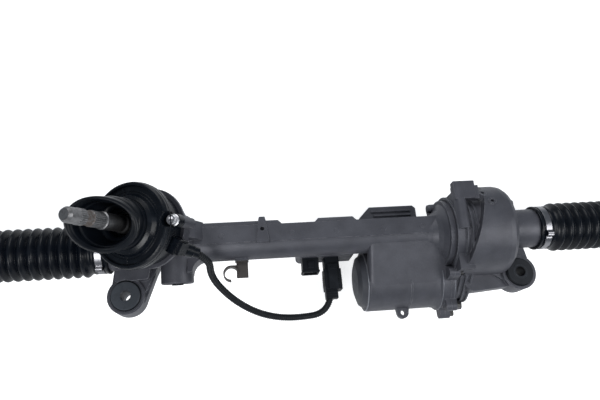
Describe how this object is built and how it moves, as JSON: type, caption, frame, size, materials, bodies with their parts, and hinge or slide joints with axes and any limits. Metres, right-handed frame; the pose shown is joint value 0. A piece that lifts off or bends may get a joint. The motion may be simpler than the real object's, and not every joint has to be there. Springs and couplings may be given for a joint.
{
  "type": "steering rack",
  "caption": "Electric power steering rack: cast housing with leaning pinion tower, belt-driven motor and ball nut, control unit, rubber bellows and inner tie rods, held by two rubber bushes.",
  "frame": {"origin": "middle of the left mounting bush's lower seat, where its bolt axis meets the carrier", "axes": "+X along the rack towards the motor end, +Z along the mounting bolts away from the carrier, +Y from the bushes towards the rack"},
  "size_m": [1.229, 0.1625, 0.28],
  "materials": {
    "cast_aluminium": "satin sand-cast",
    "black_plastic": "moulded matt",
    "rubber": "matt",
    "steel": "ground",
    "dark_steel": "phosphated",
    "band_steel": "bright strip",
    "polymer": "moulded",
    "board": "lacquered",
    "magnet": "sintered"
  },
  "bodies": {
    "housing": {"main_housing": "cast_aluminium", "gear_cover": "cast_aluminium", "flange_bolts": "dark_steel", "motor_cap": "black_plastic", "motor_stator": "dark_steel", "motor_bearing": "steel", "nut_bearing": "steel", "ecu_housing": "cast_aluminium", "ecu_cover": "cast_aluminium", "arm_cover": "cast_aluminium", "ecu_screws": "band_steel", "circuit_board": "board", "vehicle_socket": "black_plastic", "sensor_socket": "black_plastic", "sensor_plug": "black_plastic", "sensor_conduit": "black_plastic", "sensor_connector": "black_plastic", "sensor_cover": "black_plastic", "cover_screws": "band_steel", "torque_sensor": "board", "dash_seal": "rubber", "low_bearing": "steel", "high_bearing": "steel", "pinion_cap": "dark_steel", "yoke": "cast_aluminium", "yoke_spring": "steel", "yoke_plug": "black_plastic", "rack_bush": "polymer", "hose_clip": "dark_steel", "drive_belt": "rubber", "left_bump_stop": "rubber", "right_bump_stop": "rubber", "left_bush_rubber": "rubber", "left_bush_sleeve": "steel", "left_bellows": "rubber", "left_big_clamp": "band_steel", "right_bush_rubber": "rubber", "right_bush_sleeve": "steel", "right_bellows": "rubber", "right_big_clamp": "band_steel"},
    "rack": {"rack_bar": "steel", "left_ball_socket": "steel", "left_ball_seat": "polymer", "right_ball_socket": "steel", "right_ball_seat": "polymer"},
    "left_tie_rod_body": {"left_tie_rod": "dark_steel", "left_lock_nut": "dark_steel", "left_small_clamp": "band_steel"},
    "right_tie_rod_body": {"right_tie_rod": "dark_steel", "right_lock_nut": "dark_steel", "right_small_clamp": "band_steel"},
    "pinion_body": {"pinion": "steel", "torsion_bar": "steel"},
    "input_shaft_body": {"input_shaft": "steel", "magnet_ring": "magnet"},
    "ball_nut_body": {"ball_nut": "steel", "nut_pulley": "steel"},
    "motor_rotor": {"rotor_shaft": "steel", "rotor": "magnet", "motor_pulley": "steel"}
  },
  "joints": [
    {"name": "motor_spin", "type": "hinge", "parent": "housing", "child": "motor_rotor", "pos_m": [0.35, 0.0075, -0.01], "axis": [1, 0, 0], "range_deg": [-9010, 9010]},
    {"name": "rack_slide", "type": "slide", "parent": "housing", "child": "rack", "axis": [1, 0, 0], "range_m": [-0.07, 0.07], "deforming": ["left_bellows", "right_bellows"]},
    {"name": "pinion_spin", "type": "hinge", "parent": "housing", "child": "pinion_body", "pos_m": [0.0615, 0.07449, 0.03774], "axis": [-0.4051, -0.1414, 0.9032], "range_deg": [-465, 465]},
    {"name": "nut_spin", "type": "hinge", "parent": "housing", "child": "ball_nut_body", "pos_m": [0.45, 0.057, 0.035], "axis": [1, 0, 0], "range_deg": [-3650, 3650]},
    {"name": "shaft_twist", "type": "hinge", "parent": "pinion_body", "child": "input_shaft_body", "pos_m": [0.03719, 0.066, 0.09193], "axis": [-0.4051, -0.1414, 0.9032], "range_deg": [-4.5, 4.5], "stiffness_Nm_per_rad": 120},
    {"name": "left_rod_swing", "type": "hinge", "parent": "rack", "child": "left_tie_rod_body", "pos_m": [-0.1055, 0.057, 0.035], "axis": [0, 1, 0], "range_deg": [-15, 15]},
    {"name": "right_rod_swing", "type": "hinge", "parent": "rack", "child": "right_tie_rod_body", "pos_m": [0.6435, 0.057, 0.035], "axis": [0, 1, 0], "range_deg": [-15, 15]}
  ],
  "couplings": [
    {"joint": "motor_spin", "follows": "rack_slide", "rad_per_m": -2244},
    {"joint": "nut_spin", "follows": "rack_slide", "rad_per_m": -897.6},
    {"joint": "pinion_spin", "follows": "rack_slide", "rad_per_m": 114.28}
  ]
}
